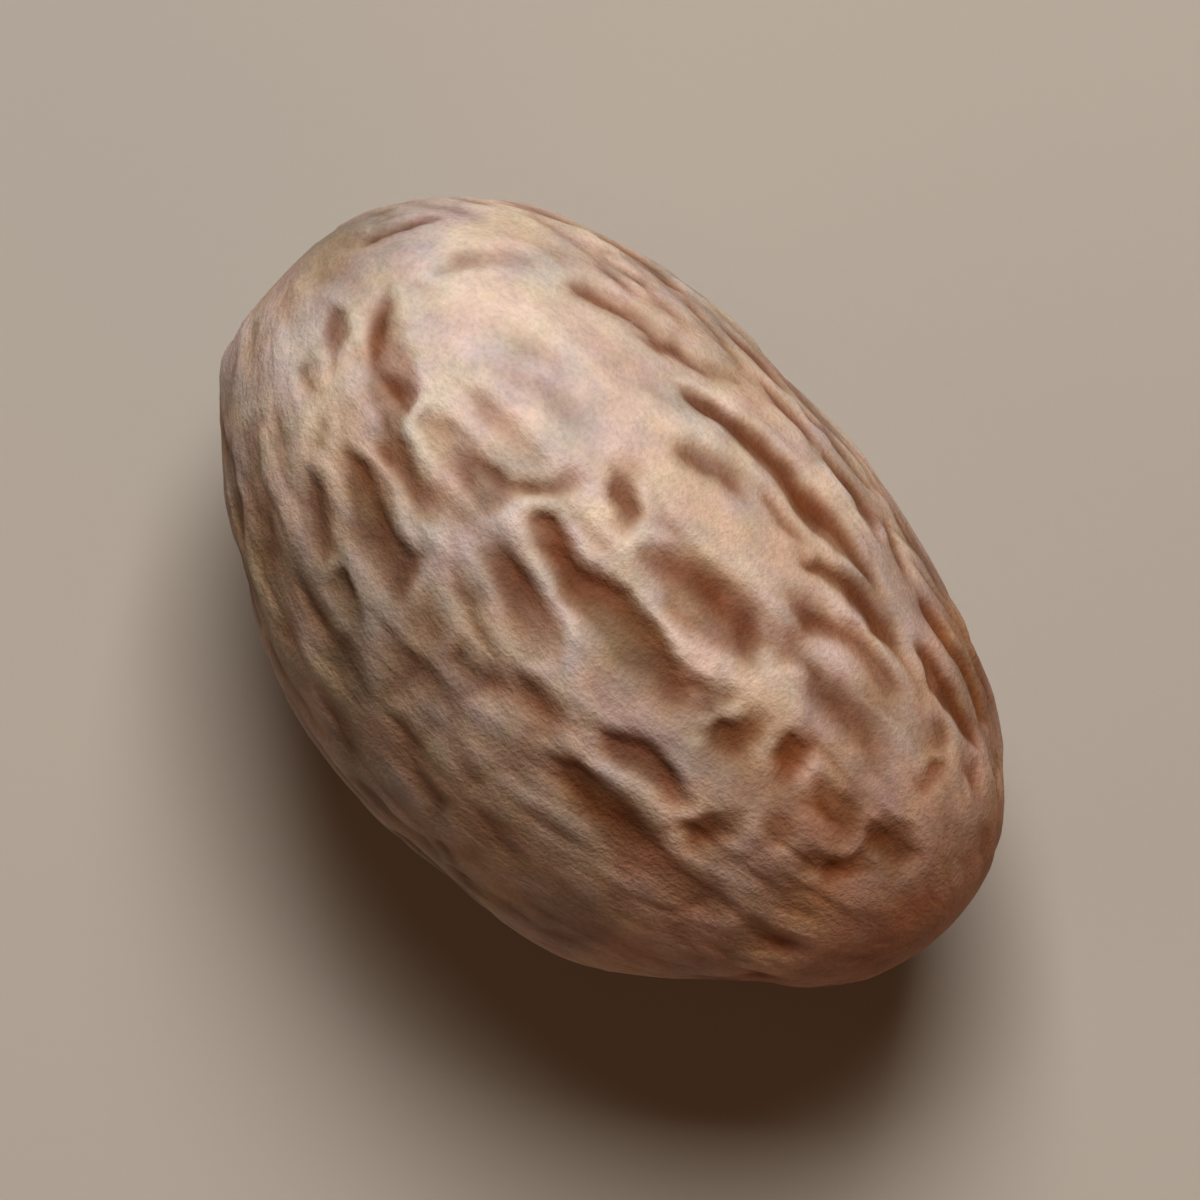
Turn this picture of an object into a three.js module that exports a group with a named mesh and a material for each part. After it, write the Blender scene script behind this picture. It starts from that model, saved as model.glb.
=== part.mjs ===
// A whole nutmeg: the dried kernel of a nutmeg seed, without its shell and mace, as one solid.
//
// Frame: millimetres, +Z up. The nutmeg lies on its side, its length along X, with the hilum low on the fuller
// -X end and the chalaza low on the slimmer +X end. The origin is on the floor, under the middle of its box.
//
// Shape: a slightly bent egg, wrinkled by long hollows that run from the hilum to the chalaza. The hollows
// crowd each other, so that only ridges are left between them, broad in some places and narrow in others.
// Hollows that run into each other share one basin, and most basins have one hollow. A point belongs to the
// basin that is nearest to it, measured in the length and the width of the basin's own hollows. The floor of
// a basin leans, so that its +Y side is the deeper one. One patch of the upper side has no hollows and stays
// smooth, and a small worn flat below keeps the nutmeg from rolling.

import * as THREE from "three";
import { mergeVertices } from "three/addons/utils/BufferGeometryUtils.js";

// ---- Driving dimensions: millimetres, unless the comment says otherwise ----

const LENGTH = 28.4;
const WIDTH = 18.4;
const HEIGHT = 17.6;

const TAPER = 0.05; // share by which the hilum end is fuller, and the other end slimmer
const BLUNTNESS = 0.045; // share by which both ends are fuller than an ellipse's
const BEND = 0.92; // how far both ends swing towards +Y
const LUMP_HEIGHT = 0.12; // broad unevenness of the whole egg
const LUMP_SIZE = 6.5;

// Broad swells, and flats where the height is negative, each centred on a point of the egg's side.
const SWELLS = [
  { x: 6.6, y: -8.4, z: 0, reach: 2.6, height: 0.3 },
  { x: 11, y: -5.4, z: 0, reach: 2.4, height: -0.42 },
  { x: -9, y: -7.2, z: 0, reach: 2.8, height: -0.28 },
  { x: -13.4, y: -3, z: 0, reach: 1.8, height: 0.4 },
  { x: -1.4, y: 9, z: 0, reach: 2.2, height: -0.2 },
];

const FLAT_DEPTH = 0.2; // slice worn off below, where the nutmeg rests
const FLAT_REACH = 1.1; // height above the flat over which the hollows fade in

const HILUM = { along: -0.94, degrees: -70, radius: 2.1, sunk: 0.28, rim: 0.12 };
const CHALAZA = { along: 0.95, degrees: -70, radius: 1.0, sunk: 0.45, rim: 0.08 };
const HILUM_PULL = 1.8; // how much more the grain points away from the hilum than to the chalaza
const BARE_SPOT_RADIUS = 3; // no hollow starts this near to the hilum, to the chalaza or to a tip

// Shallow groove between the two poles, which strays from its plane by as much as the waver.
const RAPHE = { degrees: 215, halfWidth: 0.75, depth: 0.32, waver: 0.35, waverSize: 5 };

const MERGING = 3; // the higher, the more sharply the hollows of one basin are told apart
const WALL_START = -0.15; // where a basin's wall starts, measured inwards from its edge
const WALL_REACH = 1; // where it ends, unless the basin is narrower than twice that
const CROWN = 0.25; // share of a basin's depth by which its floor rises to the edge
const LEAN = 0.9; // share by which the floor is deeper at one side than in the middle
const END_LEAN = 0.3; // the same for its -X end
const SHARPENING = 1.1; // makes up for the depth that is lost where a face is wider than a ridge
const RIDGE_FOOT = 0.62; // how far the foot of a ridge is from its middle line
const RIDGE_FOOT_VARIETY = { share: 0.4, size: 2.3 };
const RIDGE_HEIGHT = 0.72; // share of a basin's depth by which the ridges rise from it
const RIDGE_HEIGHT_VARIETY = { share: 0.28, size: 1.7 };
const WAVER = 0.36; // how far a ridge strays from its even course
const WAVER_SIZE = 1.5;

// Calm areas of the upper side, as seen from above: no hollow is added by rule where none of its depth is left.
const CALM_AREAS = [
  { x: -7.8, y: 3.4, halfLength: 5.4, halfWidth: 2.9, left: 0 },
  { x: 6.5, y: -7.2, halfLength: 6, halfWidth: 1.8, left: 0.3 },
  { x: 12.8, y: 0.5, halfLength: 1.9, halfWidth: 5, left: 0.3 },
  { x: -12.9, y: -1, halfLength: 1.9, halfWidth: 4.2, left: 0.3 },
  { x: -4, y: -9, halfLength: 5, halfWidth: 1.2, left: 0.5 },
];
const CALM_EDGE = [0.85, 1.15]; // over which a calm area fades out, in its half sizes

// The leading hollows of the upper side, as seen from above: x, y, length, width, slope in degrees, depth. One
// that is joined shares the basin of the hollow before it.
const JOINED = true;
const LEADING_HOLLOWS = [
  // furrows along the +Y edge
  [-5.8, 6.45, 5.6, 0.8, 12, 0.17],
  [0.9, 6.45, 9.2, 0.85, 0, 0.25],
  [8.4, 6.55, 4.4, 0.6, -17, 0.22],
  [8.9, 5.65, 4, 0.6, -15, 0.22],
  // between them and the large hollows
  [4.9, 5.5, 4.6, 1, 3, 0.22],
  [-0.8, 5, 3, 0.9, 12, 0.17],
  [5.6, 4.35, 4.4, 1, 11, 0.22],
  // the large hollows, and the small ones between them and the smooth patch
  [7.5, 2.7, 4.6, 1.8, 8, 0.17],
  [2.3, 1.85, 6.4, 2.4, 3, 0.24],
  [-2.2, 2.4, 1.9, 0.9, -35, 0.24],
  // the furrow that comes down the end of the smooth patch and runs along its lower side
  [-3.9, 1.15, 2.9, 0.9, 54, 0.16],
  [-6.5, -0.5, 4.2, 1, -2, 0.17, JOINED],
  // the winding furrow of the middle, and the pits that it ends in
  [-1.9, -0.35, 4.1, 1.3, -22, 0.26],
  [1.4, -0.25, 4.1, 1.5, -1, 0.22, JOINED],
  [4.1, 0, 2.3, 1.25, 30, 0.16, JOINED],
  [5.2, -0.3, 2.1, 1.9, 20, 0.25],
  [6.95, 0.65, 1.5, 1.3, 0, 0.24],
  [9, 0.75, 2.8, 0.9, 0, 0.17],
  [11.2, 0.95, 1.5, 1.2, -20, 0.21],
  [10.9, -0.15, 1.9, 1.3, 70, 0.22, JOINED],
  [9.9, -1, 1.7, 1.1, 25, 0.16, JOINED],
  [8.3, -1.05, 1.5, 1, 0, 0.16],
  // the furrow round the hilum end of the smooth patch
  [-12.7, 3.2, 2.6, 0.9, 84, 0.2],
  [-10.8, 0.45, 4, 1, -44, 0.33],
  [-8.9, -1.4, 2.4, 0.9, -40, 0.31, JOINED],
  [-6.9, -2.05, 3, 0.9, -10, 0.26, JOINED],
  [-11.6, -0.5, 2.8, 0.8, -40, 0.13],
  [-11, -2, 2.4, 0.8, -35, 0.1],
  // the -Y half
  [-1.7, -1.95, 4.7, 1.75, -14, 0.19],
  [-2.7, -3.2, 3.1, 1, -15, 0.13],
  [-1.5, -4.45, 3.5, 1.35, -8, 0.12],
  [3.6, -2.75, 4.4, 1.7, -5, 0.2],
  [7.15, -2.4, 2.3, 1.5, 82, 0.22],
  [4, -4.6, 4.7, 1.75, 4, 0.17],
  [10.6, -3.4, 2.8, 1.1, 14, 0.11],
  // the steep side below it
  [-6.6, -3.5, 5.5, 1.95, -22, 0.23],
  [-8, -4.65, 3.7, 1.45, -33, 0.14],
  [-6.1, -5.65, 2.9, 1.25, -25, 0.13, JOINED],
  [-2.9, -5.6, 4.3, 1.75, -10, 0.14],
  [-5.3, -6.95, 5.9, 1.65, -12, 0.14],
  [-0.6, -7.6, 5.3, 1.45, -16, 0.14],
  [0.2, -6.3, 2.9, 1.35, -22, 0.11],
  [-8.8, -6.1, 4.7, 1.65, -38, 0.13],
  [-3, -8.5, 3.3, 1.25, -20, 0.12],
];
const SPREAD = 0.3; // by which a leading hollow's wall reaches beyond its half sizes

// The hollows of the rest of the surface, by rule: the least and the greatest of each size.
const HOLLOW_LENGTH = [2.6, 5.6];
const HOLLOW_WIDTH = [0.9, 1.8];
const HOLLOW_DEPTH = [0.16, 0.3];
const HOLLOW_CROWDING = 0.82; // share of its own half sizes that a hollow keeps free of the ones before it
const HIGHEST_BY_RULE = 2.5; // above the egg's middle
const HOLLOW_TRIES = 3000;
const TRY_STRIDE = 1237; // has no common factor with the tries, so each is made once, in a scattered order

const AROUND = 132; // faces round the nutmeg, narrow because the hollows are
const FROM_END_TO_END = 44;
const SAMPLES = [-0.3, 0, 0.3]; // where the hollows are read across a face, in faces

const SMALLEST_REACH = 0.01; // these three keep divisions away from zero
const SMALLEST_GROWTH = 0.1;
const SMALLEST_PARTING = 0.3;
const WIDEST_COSINE = 0.985; // places beyond the egg's rim, as seen from above, are moved in to it
const COLOUR = 0xa98163;

// ---- Repeatable unevenness ----

const NOISE_CHANNEL = 1013; // lattice steps between two noises
const SIZE_CHANNEL = 7;

/** A repeatable number from 0 to 1 for three whole numbers. */
function scatter(i, j, k) {
  let h = Math.imul(i, 0x27d4eb2d) ^ Math.imul(j, 0x165667b1) ^ Math.imul(k, 0x9e3779b1);
  h = Math.imul(h ^ (h >>> 15), 0x85ebca6b);
  h = Math.imul(h ^ (h >>> 13), 0xc2b2ae35);
  return ((h ^ (h >>> 16)) >>> 0) / 2 ** 32;
}

/** Smooth noise from -1 to 1, blended between the corners of a cubic lattice of the given size. */
function noise(point, size, channel) {
  const scaled = [point.x / size, point.y / size, point.z / size];
  const corner = scaled.map(Math.floor);
  const share = scaled.map((v, axis) => THREE.MathUtils.smoothstep(v - corner[axis], 0, 1));
  let sum = 0;
  for (let n = 0; n < 8; n++) {
    const step = [n & 1, (n >> 1) & 1, n >> 2];
    const weight = step.reduce((w, s, axis) => w * (s ? share[axis] : 1 - share[axis]), 1);
    const [i, j, k] = corner.map((v, axis) => v + step[axis]);
    sum += weight * scatter(i, j, k + NOISE_CHANNEL * channel);
  }
  return 2 * sum - 1;
}

// ---- The smooth egg ----

/** The egg's radius at a share of its half length, as a share of its greatest radius. */
function fullness(along) {
  return Math.sqrt(Math.max(0, 1 - along ** 2)) * (1 - TAPER * along + BLUNTNESS * along ** 4);
}

/** The point of the egg at a share of its half length and an angle round X, which is 0 at +Y. */
function eggPoint(along, angle) {
  const radius = fullness(along);
  return new THREE.Vector3(
    (along * LENGTH) / 2,
    (radius * Math.cos(angle) * WIDTH) / 2 + BEND * (along ** 2 - 1 / 3),
    (radius * Math.sin(angle) * HEIGHT) / 2,
  );
}

/** The outward normal there, taken from the ellipsoid of the same box. */
function eggNormal(along, angle) {
  const radius = fullness(along);
  return new THREE.Vector3(
    along / LENGTH,
    (radius * Math.cos(angle)) / WIDTH,
    (radius * Math.sin(angle)) / HEIGHT,
  ).normalize();
}

/** The share of the half length and the angle of the upper-side point above x, y. */
function aboveXY(x, y) {
  const along = (2 * x) / LENGTH;
  const across = (y - BEND * (along ** 2 - 1 / 3)) / ((fullness(along) * WIDTH) / 2);
  return [along, Math.acos(THREE.MathUtils.clamp(across, -WIDEST_COSINE, WIDEST_COSINE))];
}

const hilumCentre = eggPoint(HILUM.along, THREE.MathUtils.degToRad(HILUM.degrees));
const chalazaCentre = eggPoint(CHALAZA.along, THREE.MathUtils.degToRad(CHALAZA.degrees));

const bareSpots = [hilumCentre, chalazaCentre, eggPoint(-1, 0), eggPoint(1, 0)];

/** How far a point is from the nearest of the spots without hollows: the hilum, the chalaza and both tips. */
function fromBareSpot(point) {
  return Math.min(...bareSpots.map((spot) => point.distanceTo(spot)));
}

/** The way the grain runs at a point: away from the hilum and towards the chalaza, along the surface. */
function grainAt(point, normal) {
  const fromHilum = point.clone().sub(hilumCentre).normalize();
  const toChalaza = chalazaCentre.clone().sub(point).normalize();
  return fromHilum.multiplyScalar(HILUM_PULL).add(toChalaza).projectOnPlane(normal).normalize();
}

// ---- The hollows ----

/** One hollow: its middle, its three directions and its half sizes. */
function makeHollow(along, angle, lengthwise, length, width, depth) {
  const normal = eggNormal(along, angle);
  return {
    middle: eggPoint(along, angle),
    normal,
    lengthwise,
    crosswise: new THREE.Vector3().crossVectors(normal, lengthwise),
    halfLength: length / 2,
    halfWidth: width / 2,
    depth,
  };
}

/** A point's place in a hollow, in half sizes, where those of the hollow grow by the extras. */
function placeIn(hollow, point, extraLength = 0, extraWidth = 0) {
  const offset = new THREE.Vector3().subVectors(point, hollow.middle);
  return new THREE.Vector3(
    offset.dot(hollow.lengthwise) / (hollow.halfLength + extraLength),
    offset.dot(hollow.crosswise) / (hollow.halfWidth + extraWidth),
    offset.dot(hollow.normal) / (hollow.halfLength + extraLength),
  );
}

/** How far a point is from a hollow's middle, in half sizes. */
function reach(hollow, point) {
  return Math.max(placeIn(hollow, point).length(), SMALLEST_REACH);
}

/** The direction in which that reach grows fastest at a point, as long as its growth for each millimetre. */
function reachGrowth(hollow, point) {
  const place = placeIn(hollow, point);
  const { lengthwise, crosswise, normal, halfLength, halfWidth } = hollow;
  return new THREE.Vector3()
    .addScaledVector(lengthwise, place.x / halfLength)
    .addScaledVector(crosswise, place.y / halfWidth)
    .addScaledVector(normal, place.z / halfLength)
    .divideScalar(reach(hollow, point));
}

/** The leading hollows in basins, each hollow turned so that it has its slope as seen from above. */
function leadingBasins() {
  const basins = [];
  for (const [x, y, length, width, slope, depth, joined] of LEADING_HOLLOWS) {
    const [along, angle] = aboveXY(x, y);
    const normal = eggNormal(along, angle);
    const turn = THREE.MathUtils.degToRad(slope);
    const lengthwise = new THREE.Vector3(Math.cos(turn), Math.sin(turn), 0);
    lengthwise.z = -lengthwise.dot(normal) / normal.z;
    const sizes = [length + 2 * SPREAD, width + 2 * SPREAD];
    const hollow = makeHollow(along, angle, lengthwise.normalize(), ...sizes, depth);
    if (joined) basins.at(-1).push(hollow);
    else basins.push([hollow]);
  }
  return basins;
}

/** The share of a hollow's depth that is left at a point, by the calmest area that it is in. */
function calmness(point) {
  if (point.z <= 0) return 1;
  const leftIn = ({ x, y, halfLength, halfWidth, left }) => {
    const share = Math.hypot((point.x - x) / halfLength, (point.y - y) / halfWidth);
    return THREE.MathUtils.lerp(left, 1, THREE.MathUtils.smoothstep(share, ...CALM_EDGE));
  };
  return Math.min(...CALM_AREAS.map(leftIn));
}

/** Lays hollows over the egg in a scattered order, each where the ones before it leave room. */
function addBasinsByRule(basins) {
  const goldenAngle = Math.PI * (3 - Math.sqrt(5));
  const sizeRanges = [HOLLOW_LENGTH, HOLLOW_WIDTH, HOLLOW_DEPTH];
  for (let n = 0; n < HOLLOW_TRIES; n++) {
    const place = (n * TRY_STRIDE) % HOLLOW_TRIES;
    const along = 1 - (2 * place + 1) / HOLLOW_TRIES;
    const angle = (place * goldenAngle) % (2 * Math.PI);
    const point = eggPoint(along, angle);
    const calm = calmness(point);
    if (fromBareSpot(point) < BARE_SPOT_RADIUS || calm === 0 || point.z > HIGHEST_BY_RULE) continue;
    const [length, width, depth] = sizeRanges.map(([least, greatest], kind) =>
      THREE.MathUtils.lerp(least, greatest, scatter(place, kind, SIZE_CHANNEL)),
    );
    const kept = [length, width].map((size) => (HOLLOW_CROWDING * size) / 2);
    if (basins.flat().some((hollow) => placeIn(hollow, point, ...kept).length() < 1)) continue;
    const grain = grainAt(point, eggNormal(along, angle));
    basins.push([makeHollow(along, angle, grain, length, width, depth * calm)]);
  }
  return basins;
}

const basins = addBasinsByRule(leadingBasins());

/** How far a point is from a basin: the mean of its hollows' reaches to the power -MERGING. */
function basinReach(basin, point) {
  const total = basin.reduce((sum, hollow) => sum + reach(hollow, point) ** -MERGING, 0);
  return total ** (-1 / MERGING);
}

/** The growth of that reach for each millimetre, as a direction and a length. */
function basinGrowth(basin, point) {
  const growth = new THREE.Vector3();
  for (const hollow of basin) {
    growth.addScaledVector(reachGrowth(hollow, point), reach(hollow, point) ** (-MERGING - 1));
  }
  return growth.multiplyScalar(basinReach(basin, point) ** (MERGING + 1));
}

/** The depth of a basin's leaning floor at a point and the half width there, both averaged over its hollows. */
function basinFloor(basin, point) {
  let [total, depth, halfWidth] = [0, 0, 0];
  for (const hollow of basin) {
    const weight = reach(hollow, point) ** -MERGING;
    const place = placeIn(hollow, point).clampScalar(-1, 1);
    total += weight;
    depth += weight * hollow.depth * (1 + LEAN * place.y - END_LEAN * place.x);
    halfWidth += weight * hollow.halfWidth;
  }
  return { depth: depth / total, halfWidth: halfWidth / total };
}

/** The two basins with the least reach to a point. */
function nearestTwo(point) {
  let [nearest, next] = [basins[0], basins[1]];
  let [least, second] = [Infinity, Infinity];
  for (const basin of basins) {
    const share = basinReach(basin, point);
    if (share < least) {
      [next, second] = [nearest, least];
      [nearest, least] = [basin, share];
    } else if (share < second) {
      [next, second] = [basin, share];
    }
  }
  return { nearest, next, least, second };
}

/** How deep the surface lies below the egg at a point: in its basin, less the ridge to the next basin. */
function hollowDepth(point) {
  const waver = [1, 2, 3].map((channel) => WAVER * noise(point, WAVER_SIZE, channel));
  const strayed = new THREE.Vector3(...waver).add(point);
  const { nearest, next, least, second } = nearestTwo(strayed);
  const growth = basinGrowth(nearest, strayed);
  const { depth, halfWidth } = basinFloor(nearest, strayed);
  const inFromEdge = (1 - least) / Math.max(growth.length(), SMALLEST_GROWTH);
  const wall = THREE.MathUtils.smoothstep(inFromEdge, WALL_START, Math.min(WALL_REACH, halfWidth));
  const crowned = 1 - CROWN * Math.min(least, 1) ** 2;
  const parting = basinGrowth(next, strayed).sub(growth).length();
  const offRidge = (second - least) / Math.max(parting, SMALLEST_PARTING);
  const foot = RIDGE_FOOT * (1 + RIDGE_FOOT_VARIETY.share * noise(point, RIDGE_FOOT_VARIETY.size, 6));
  const ridge = 1 - THREE.MathUtils.smoothstep(offRidge / foot, 0, 1);
  const height = RIDGE_HEIGHT + RIDGE_HEIGHT_VARIETY.share * noise(point, RIDGE_HEIGHT_VARIETY.size, 4);
  return SHARPENING * depth * wall * crowned * (1 - height * ridge);
}

// ---- The poles and the raphe ----

/** How deep a pole's round scar lies at a point, negative on its raised rim. */
function scarDepth(point, centre, { radius, sunk, rim }) {
  const share = point.distanceTo(centre) / radius;
  const pit = sunk * (1 - THREE.MathUtils.smoothstep(share, 0.6, 1));
  return pit - rim * Math.exp(-(((share - 1.15) / 0.25) ** 2));
}

const rapheSide = new THREE.Vector3(
  0,
  Math.cos(THREE.MathUtils.degToRad(RAPHE.degrees)),
  Math.sin(THREE.MathUtils.degToRad(RAPHE.degrees)),
);
const poleAxis = chalazaCentre.clone().sub(hilumCentre).normalize();
const rapheNormal = new THREE.Vector3().crossVectors(poleAxis, rapheSide).normalize();

/** How deep the raphe's groove is at a point: it is where a half plane through both poles cuts the egg. */
function rapheDepth(point) {
  const offset = point.clone().sub(hilumCentre);
  if (offset.dot(rapheSide) <= 0) return 0;
  const off = offset.dot(rapheNormal) + RAPHE.waver * noise(point, RAPHE.waverSize, 5);
  return RAPHE.depth * Math.exp(-((off / RAPHE.halfWidth) ** 2));
}

// ---- The whole surface ----

/** How far the broad swells lift the egg at a point. */
function swellHeight(point) {
  return SWELLS.reduce((sum, { x, y, z, reach: size, height }) => {
    const distance = point.distanceTo(new THREE.Vector3(x, y, z));
    return sum + height * Math.exp(-((distance / size) ** 2));
  }, 0);
}

/** How far the surface stands out from the egg at a point: lumps and swells, less all that is sunk in. */
function standOut(point) {
  const offSpots = THREE.MathUtils.smoothstep(fromBareSpot(point), BARE_SPOT_RADIUS / 2, BARE_SPOT_RADIUS);
  const offFloor = THREE.MathUtils.smoothstep(point.z + HEIGHT / 2, FLAT_DEPTH, FLAT_REACH);
  const sunk = offFloor * offSpots * (hollowDepth(point) + rapheDepth(point));
  const scars = scarDepth(point, hilumCentre, HILUM) + scarDepth(point, chalazaCentre, CHALAZA);
  return LUMP_HEIGHT * noise(point, LUMP_SIZE, 0) + swellHeight(point) - sunk - scars;
}

/** The surface point at a direction of the unit sphere, with what stands out averaged across a face. */
function surfacePoint(direction) {
  const along = THREE.MathUtils.clamp(direction.x, -1, 1);
  const fromEnd = Math.acos(along);
  const angle = Math.atan2(direction.z, direction.y);
  let sum = 0;
  for (const down of SAMPLES) {
    const sampleAlong = Math.cos(fromEnd + (down * Math.PI) / FROM_END_TO_END);
    for (const round of SAMPLES) {
      sum += standOut(eggPoint(sampleAlong, angle + (round * 2 * Math.PI) / AROUND));
    }
  }
  const mean = sum / SAMPLES.length ** 2;
  return eggPoint(along, angle).addScaledVector(eggNormal(along, angle), mean);
}

/** A closed mesh of the nutmeg, cut flat below, at its true size and with its origin on the floor. */
function nutmegGeometry() {
  const sphere = new THREE.SphereGeometry(1, AROUND, FROM_END_TO_END).rotateZ(Math.PI / 2);
  sphere.deleteAttribute("normal");
  sphere.deleteAttribute("uv");
  const geometry = mergeVertices(sphere, 1e-6);
  const position = geometry.getAttribute("position");
  for (let i = 0; i < position.count; i++) {
    const point = surfacePoint(new THREE.Vector3().fromBufferAttribute(position, i).normalize());
    position.setXYZ(i, point.x, point.y, point.z);
  }
  geometry.computeBoundingBox();
  const floor = geometry.boundingBox.min.z + FLAT_DEPTH;
  for (let i = 0; i < position.count; i++) {
    position.setZ(i, Math.max(position.getZ(i), floor));
  }
  geometry.computeBoundingBox();
  const { min, max } = geometry.boundingBox;
  geometry.translate(-(min.x + max.x) / 2, -(min.y + max.y) / 2, -min.z);
  geometry.scale(LENGTH / (max.x - min.x), WIDTH / (max.y - min.y), HEIGHT / (max.z - min.z));
  geometry.computeVertexNormals();
  return geometry;
}

const nutmeg = new THREE.Mesh(
  nutmegGeometry(),
  new THREE.MeshStandardMaterial({ color: COLOUR, roughness: 0.62, metalness: 0 }),
);
nutmeg.name = "nutmeg";

const part = new THREE.Group();
part.add(nutmeg);

export default part;
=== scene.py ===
"""A whole nutmeg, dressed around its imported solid.

The nutmeg is one piece: a slightly bent egg, wrinkled by long hollows that run from the hilum, at the -X end,
to the chalaza, at the +X end. The hollows crowd each other, so that narrow ridges are left between them. All
sizes of the form are in millimetres, in the egg's own frame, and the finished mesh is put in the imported
solid's box in metres.
"""

import logging
import math
from dataclasses import dataclass, field
from enum import Enum
from typing import Any

import bpy
import numpy as np
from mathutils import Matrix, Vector
from numpy.typing import NDArray

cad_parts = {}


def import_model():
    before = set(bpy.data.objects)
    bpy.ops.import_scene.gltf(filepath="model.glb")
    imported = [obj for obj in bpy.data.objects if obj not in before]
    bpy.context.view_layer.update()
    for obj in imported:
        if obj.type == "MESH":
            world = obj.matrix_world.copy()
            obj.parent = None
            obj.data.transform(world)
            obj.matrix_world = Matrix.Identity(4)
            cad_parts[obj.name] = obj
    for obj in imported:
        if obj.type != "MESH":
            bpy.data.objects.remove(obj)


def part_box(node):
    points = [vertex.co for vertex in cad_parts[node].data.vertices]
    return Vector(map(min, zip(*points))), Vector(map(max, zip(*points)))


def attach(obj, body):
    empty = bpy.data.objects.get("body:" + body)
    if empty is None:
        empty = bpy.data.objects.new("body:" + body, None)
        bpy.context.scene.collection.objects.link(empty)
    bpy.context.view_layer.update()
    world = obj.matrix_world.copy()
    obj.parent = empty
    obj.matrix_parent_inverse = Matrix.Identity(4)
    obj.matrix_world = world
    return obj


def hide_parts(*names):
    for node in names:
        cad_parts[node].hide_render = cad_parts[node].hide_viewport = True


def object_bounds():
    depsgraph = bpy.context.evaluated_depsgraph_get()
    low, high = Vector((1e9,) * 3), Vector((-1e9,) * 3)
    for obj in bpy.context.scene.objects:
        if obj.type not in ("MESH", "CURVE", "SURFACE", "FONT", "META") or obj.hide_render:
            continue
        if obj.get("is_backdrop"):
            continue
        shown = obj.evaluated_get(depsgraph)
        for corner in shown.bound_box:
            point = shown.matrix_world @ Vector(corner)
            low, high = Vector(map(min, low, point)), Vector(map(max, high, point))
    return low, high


Array = NDArray[np.float64]
Range = tuple[float, float]

MM = 0.001
NODE = "nutmeg"
BODY = "root"

log = logging.getLogger("nutmeg")


# ---- Arithmetic on whole arrays ----


def smooth_step(value: Array, start: float, end: float) -> Array:
    """Rise smoothly from 0 at start to 1 at end, by 3t^2 - 2t^3.

    Args:
        value: numbers to judge.
        start: where the rise begins.
        end: where it ends.

    Returns:
        The share of the rise for each number.
    """
    share = np.clip((value - start) / (end - start), 0.0, 1.0)
    return share * share * (3.0 - 2.0 * share)


def unit(vectors: Array) -> Array:
    """Scale each vector, along the last axis, to length 1."""
    return vectors / np.linalg.norm(vectors, axis=-1, keepdims=True)


def bell(distance: Array, width: float) -> Array:
    """Fall from 1 at distance 0 as a bell curve: e to the power of minus (distance / width) squared."""
    return np.exp(-((distance / width) ** 2))


WORD = np.uint64(0xFFFFFFFF)
HASH_STEPS = (0x27D4EB2D, 0x165667B1, 0x9E3779B1)
HASH_FACTORS = (0x85EBCA6B, 0xC2B2AE35)
HASH_SHIFTS = (15, 13, 16)
NOISE_CHANNEL = 1013
GOLDEN_HALF_TURNS = 3.0 - math.sqrt(5.0)


def scatter(i: NDArray[np.int64], j: NDArray[np.int64], k: NDArray[np.int64]) -> Array:
    """Turn three whole numbers into a repeatable number from 0 to 1, by mixing the bits of 32-bit words.

    Args:
        i: first whole numbers.
        j: second whole numbers.
        k: third whole numbers.

    Returns:
        One number from 0 to 1 for each triple.
    """
    mixed = np.uint64(0)
    for value, step in zip((i, j, k), HASH_STEPS):
        mixed = mixed ^ ((np.asarray(value, np.int64).astype(np.uint64) & WORD) * np.uint64(step) & WORD)
    for shift, factor in zip(HASH_SHIFTS, HASH_FACTORS):
        mixed = (mixed ^ (mixed >> np.uint64(shift))) * np.uint64(factor) & WORD
    return (mixed ^ (mixed >> np.uint64(HASH_SHIFTS[-1]))).astype(float) / 2.0**32


def noise(points: Array, size: float, channel: int) -> Array:
    """Blend random values between the eight corners of each cell of a cubic lattice.

    Args:
        points: places, with x, y and z on the last axis.
        size: edge of a cell, in the same unit as the points.
        channel: which of many noises this is.

    Returns:
        A smooth value from -1 to 1 for each place.
    """
    scaled = points / size
    corner = np.floor(scaled).astype(np.int64)
    share = smooth_step(scaled - corner, 0.0, 1.0)
    total = np.zeros(points.shape[:-1])
    for n in range(8):
        step = np.array((n & 1, n >> 1 & 1, n >> 2))
        weight = np.prod(np.where(step, share, 1.0 - share), axis=-1)
        i, j, k = np.moveaxis(corner + step, -1, 0)
        total += weight * scatter(i, j, k + NOISE_CHANNEL * channel)
    return 2.0 * total - 1.0


@dataclass(frozen=True)
class Unevenness:
    """A smooth noise: the most that it adds, its size in millimetres, and which of many noises it is."""

    amount: float
    size: float
    channel: int

    def at(self, points: Array, scale: float = 1.0) -> Array:
        """What it adds at each point: its amount times the noise of its size, which a scale may widen."""
        return self.amount * noise(points, self.size * scale, self.channel)


def ring_quads(index: NDArray[np.int64]) -> NDArray[np.int64]:
    """Join each ring of points to the next by faces of four corners.

    Args:
        index: numbers of the points, with one row for each ring.

    Returns:
        The corners of each face.
    """
    after = np.roll(index, -1, axis=1)
    return np.stack([index[:-1], index[1:], after[1:], after[:-1]], axis=-1).reshape(-1, 4)


def add_object(name: str, data: bpy.types.ID) -> bpy.types.Object:
    """Put a new object into the scene, at the origin.

    Args:
        name: its name.
        data: its mesh, light or camera.

    Returns:
        The object.
    """
    made = bpy.data.objects.new(name, data)
    bpy.context.scene.collection.objects.link(made)
    return made


# ---- The smooth egg ----


@dataclass(frozen=True)
class Swell:
    """A broad swell of the egg's side, or a flat where its height is negative."""

    x: float
    y: float
    reach: float
    height: float


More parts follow.
